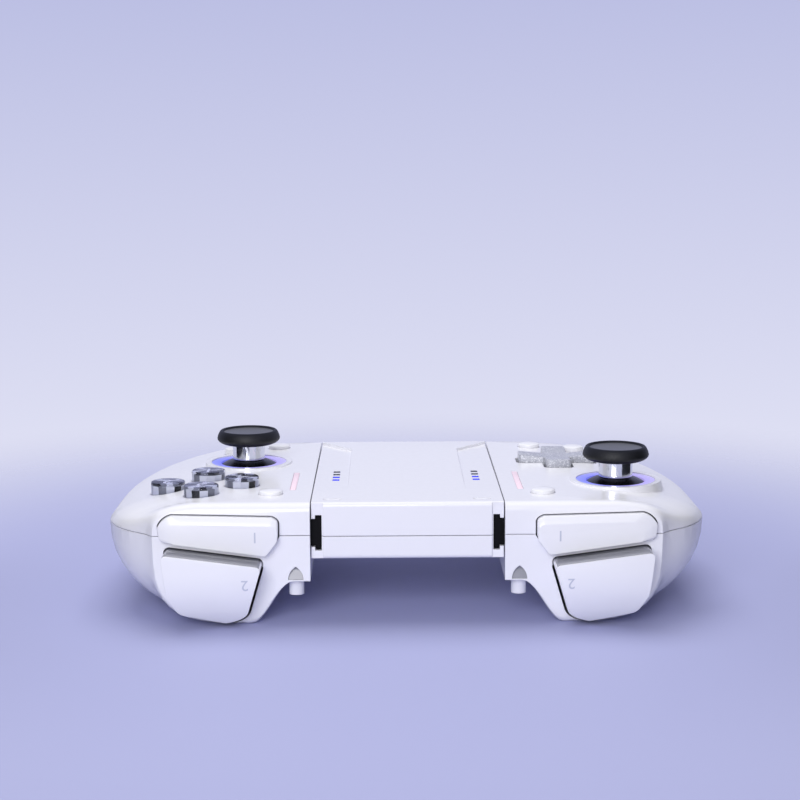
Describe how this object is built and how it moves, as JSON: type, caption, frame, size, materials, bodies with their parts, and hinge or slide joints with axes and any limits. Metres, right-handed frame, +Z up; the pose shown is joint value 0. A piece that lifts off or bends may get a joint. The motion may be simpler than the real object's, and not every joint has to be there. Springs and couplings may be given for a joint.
{
  "type": "gamepad controller",
  "caption": "Split game controller whose rounded grips slide off a thin centre bridge, with tilting sticks, a direction pad, clear face buttons, bumpers and sprung triggers.",
  "frame": {"origin": "centre of the controller's box on the table it stands on", "axes": "+X across the pad towards the half with the direction pad, +Y from the shoulder edge to the rear edge, +Z up out of the buttons"},
  "size_m": [0.177, 0.1116, 0.0462],
  "materials": {
    "shell_white": "glossy moulded white",
    "button_white": "glossy moulded white",
    "rail_black": "satin black",
    "stick_black": "smooth black",
    "cap_rubber": "matte black rubber",
    "stem_chrome": "polished",
    "ring_glow": "lit diffuser",
    "bar_glow": "lit diffuser",
    "indicator_glow": "clear light pipe",
    "crystal_clear": "polished clear resin",
    "pad_pearl": "satin pearl grey",
    "circuit_board": "solder mask",
    "battery_grey": "foil wrapped cell",
    "membrane_grey": "silicone",
    "screw_steel": "machined",
    "socket_metal": "drawn steel shell",
    "contact_gold": "gold plated pins"
  },
  "bodies": {
    "bridge": {"bridge_top_cover": "shell_white", "bridge_bottom_cover": "shell_white", "bridge_circuit_board": "circuit_board", "bridge_charging_socket": "socket_metal", "bridge_indicator_windows": "indicator_glow", "bridge_left_contacts": "contact_gold", "bridge_right_contacts": "contact_gold", "bridge_screws": "screw_steel"},
    "left_half": {"left_top_shell": "shell_white", "left_bottom_shell": "shell_white", "left_rail": "rail_black", "left_circuit_board": "circuit_board", "left_battery": "battery_grey", "left_stick_housing": "screw_steel", "left_ring_light": "ring_glow", "left_light_bar": "bar_glow", "left_trigger_spring": "screw_steel", "left_screws": "screw_steel", "direction_pad_base": "stick_black"},
    "left_stick_carriage": {"left_stick_carriage": "stick_black"},
    "left_stick_yoke": {"left_stick_yoke": "screw_steel"},
    "left_stick": {"left_stick_post": "stick_black", "left_stick_sleeve": "stem_chrome", "left_stick_cap": "cap_rubber"},
    "left_bumper": {"left_bumper": "button_white"},
    "left_trigger": {"left_trigger": "button_white"},
    "left_release": {"left_release_button": "button_white"},
    "left_front_button": {"left_front_button": "button_white"},
    "left_rear_inner_button": {"left_rear_inner_button": "button_white"},
    "left_rear_outer_button": {"left_rear_outer_button": "button_white"},
    "left_back_button": {"left_back_button": "button_white"},
    "right_half": {"right_top_shell": "shell_white", "right_bottom_shell": "shell_white", "right_rail": "rail_black", "right_circuit_board": "circuit_board", "right_battery": "battery_grey", "right_stick_housing": "screw_steel", "right_ring_light": "ring_glow", "right_light_bar": "bar_glow", "right_trigger_spring": "screw_steel", "right_screws": "screw_steel", "face_button_membrane": "membrane_grey"},
    "right_stick_carriage": {"right_stick_carriage": "stick_black"},
    "right_stick_yoke": {"right_stick_yoke": "screw_steel"},
    "right_stick": {"right_stick_post": "stick_black", "right_stick_sleeve": "stem_chrome", "right_stick_cap": "cap_rubber"},
    "right_bumper": {"right_bumper": "button_white"},
    "right_trigger": {"right_trigger": "button_white"},
    "right_release": {"right_release_button": "button_white"},
    "right_front_button": {"right_front_button": "button_white"},
    "right_rear_inner_button": {"right_rear_inner_button": "button_white"},
    "right_rear_outer_button": {"right_rear_outer_button": "button_white"},
    "right_back_button": {"right_back_button": "button_white"},
    "direction_pad_gimbal": {"direction_pad_gimbal": "screw_steel"},
    "direction_pad": {"direction_pad": "pad_pearl"},
    "rear_face_button": {"rear_face_button": "crystal_clear"},
    "outer_face_button": {"outer_face_button": "crystal_clear"},
    "front_face_button": {"front_face_button": "crystal_clear"},
    "inner_face_button": {"inner_face_button": "crystal_clear"}
  },
  "joints": [
    {"name": "left_half_slide", "type": "slide", "parent": "bridge", "child": "left_half", "axis": [0, -1, 0], "range_m": [0, 0.105]},
    {"name": "left_stick_click", "type": "slide", "parent": "left_half", "child": "left_stick_carriage", "axis": [0, 0, -1], "range_m": [0, 0.0005], "stiffness_N_per_m": 5000, "springref_m": -0.0002},
    {"name": "left_stick_tilt_x", "type": "hinge", "parent": "left_stick_carriage", "child": "left_stick_yoke", "pos_m": [0.0635, -0.01475, 0.0273], "axis": [1, 0, 0], "range_deg": [-15, 15], "stiffness_Nm_per_rad": 0.06},
    {"name": "left_stick_tilt_y", "type": "hinge", "parent": "left_stick_yoke", "child": "left_stick", "pos_m": [0.0635, -0.01475, 0.0273], "axis": [0, 1, 0], "range_deg": [-15, 15], "stiffness_Nm_per_rad": 0.06},
    {"name": "left_bumper_press", "type": "hinge", "parent": "left_half", "child": "left_bumper", "pos_m": [0.0394, -0.03905, 0.0275], "axis": [0, 0, 1], "range_deg": [0, 2.5], "stiffness_Nm_per_rad": 1, "springref_deg": -0.57},
    {"name": "left_trigger_pull", "type": "hinge", "parent": "left_half", "child": "left_trigger", "pos_m": [0.05575, -0.04285, 0.0173], "axis": [1, 0, 0], "range_deg": [0, 12], "stiffness_Nm_per_rad": 0.12, "springref_deg": -6.88},
    {"name": "left_release_press", "type": "slide", "parent": "left_half", "child": "left_release", "axis": [0, 0, 1], "range_m": [0, 0.0015], "stiffness_N_per_m": 800, "springref_m": -0.0005},
    {"name": "left_front_button_press", "type": "slide", "parent": "left_half", "child": "left_front_button", "axis": [0, 0, -1], "range_m": [0, 0.0006], "stiffness_N_per_m": 2500, "springref_m": -0.0002},
    {"name": "left_rear_inner_button_press", "type": "slide", "parent": "left_half", "child": "left_rear_inner_button", "axis": [0, 0, -1], "range_m": [0, 0.0006], "stiffness_N_per_m": 2500, "springref_m": -0.0002},
    {"name": "left_rear_outer_button_press", "type": "slide", "parent": "left_half", "child": "left_rear_outer_button", "axis": [0, 0, -1], "range_m": [0, 0.0006], "stiffness_N_per_m": 2500, "springref_m": -0.0002},
    {"name": "left_back_button_press", "type": "slide", "parent": "left_half", "child": "left_back_button", "axis": [-0.4536, 0, 0.8912], "range_m": [0, 0.0008], "stiffness_N_per_m": 2000, "springref_m": -0.0002},
    {"name": "right_half_slide", "type": "slide", "parent": "bridge", "child": "right_half", "axis": [0, -1, 0], "range_m": [0, 0.105]},
    {"name": "right_stick_click", "type": "slide", "parent": "right_half", "child": "right_stick_carriage", "axis": [0, 0, -1], "range_m": [0, 0.0005], "stiffness_N_per_m": 5000, "springref_m": -0.0002},
    {"name": "right_stick_tilt_x", "type": "hinge", "parent": "right_stick_carriage", "child": "right_stick_yoke", "pos_m": [-0.05, 0.01725, 0.0273], "axis": [1, 0, 0], "range_deg": [-15, 15], "stiffness_Nm_per_rad": 0.06},
    {"name": "right_stick_tilt_y", "type": "hinge", "parent": "right_stick_yoke", "child": "right_stick", "pos_m": [-0.05, 0.01725, 0.0273], "axis": [0, 1, 0], "range_deg": [-15, 15], "stiffness_Nm_per_rad": 0.06},
    {"name": "right_bumper_press", "type": "hinge", "parent": "right_half", "child": "right_bumper", "pos_m": [-0.0394, -0.03905, 0.0275], "axis": [0, 0, -1], "range_deg": [0, 2.5], "stiffness_Nm_per_rad": 1, "springref_deg": -0.57},
    {"name": "right_trigger_pull", "type": "hinge", "parent": "right_half", "child": "right_trigger", "pos_m": [-0.05575, -0.04285, 0.0173], "axis": [1, 0, 0], "range_deg": [0, 12], "stiffness_Nm_per_rad": 0.12, "springref_deg": -6.88},
    {"name": "right_release_press", "type": "slide", "parent": "right_half", "child": "right_release", "axis": [0, 0, 1], "range_m": [0, 0.0015], "stiffness_N_per_m": 800, "springref_m": -0.0005},
    {"name": "right_front_button_press", "type": "slide", "parent": "right_half", "child": "right_front_button", "axis": [0, 0, -1], "range_m": [0, 0.0006], "stiffness_N_per_m": 2500, "springref_m": -0.0002},
    {"name": "right_rear_inner_button_press", "type": "slide", "parent": "right_half", "child": "right_rear_inner_button", "axis": [0, 0, -1], "range_m": [0, 0.0006], "stiffness_N_per_m": 2500, "springref_m": -0.0002},
    {"name": "right_rear_outer_button_press", "type": "slide", "parent": "right_half", "child": "right_rear_outer_button", "axis": [0, 0, -1], "range_m": [0, 0.0006], "stiffness_N_per_m": 2500, "springref_m": -0.0002},
    {"name": "right_back_button_press", "type": "slide", "parent": "right_half", "child": "right_back_button", "axis": [0.4536, 0, 0.8912], "range_m": [0, 0.0008], "stiffness_N_per_m": 2000, "springref_m": -0.0002},
    {"name": "direction_pad_tilt_x", "type": "hinge", "parent": "left_half", "child": "direction_pad_gimbal", "pos_m": [0.0485, 0.01825, 0.0295], "axis": [1, 0, 0], "range_deg": [-5, 5], "stiffness_Nm_per_rad": 0.15},
    {"name": "direction_pad_tilt_y", "type": "hinge", "parent": "direction_pad_gimbal", "child": "direction_pad", "pos_m": [0.0485, 0.01825, 0.0295], "axis": [0, 1, 0], "range_deg": [-5, 5], "stiffness_Nm_per_rad": 0.15},
    {"name": "rear_face_button_press", "type": "slide", "parent": "right_half", "child": "rear_face_button", "axis": [0, 0, -1], "range_m": [0, 0.0012], "stiffness_N_per_m": 900, "springref_m": -0.0003},
    {"name": "outer_face_button_press", "type": "slide", "parent": "right_half", "child": "outer_face_button", "axis": [0, 0, -1], "range_m": [0, 0.0012], "stiffness_N_per_m": 900, "springref_m": -0.0003},
    {"name": "front_face_button_press", "type": "slide", "parent": "right_half", "child": "front_face_button", "axis": [0, 0, -1], "range_m": [0, 0.0012], "stiffness_N_per_m": 900, "springref_m": -0.0003},
    {"name": "inner_face_button_press", "type": "slide", "parent": "right_half", "child": "inner_face_button", "axis": [0, 0, -1], "range_m": [0, 0.0012], "stiffness_N_per_m": 900, "springref_m": -0.0003}
  ]
}
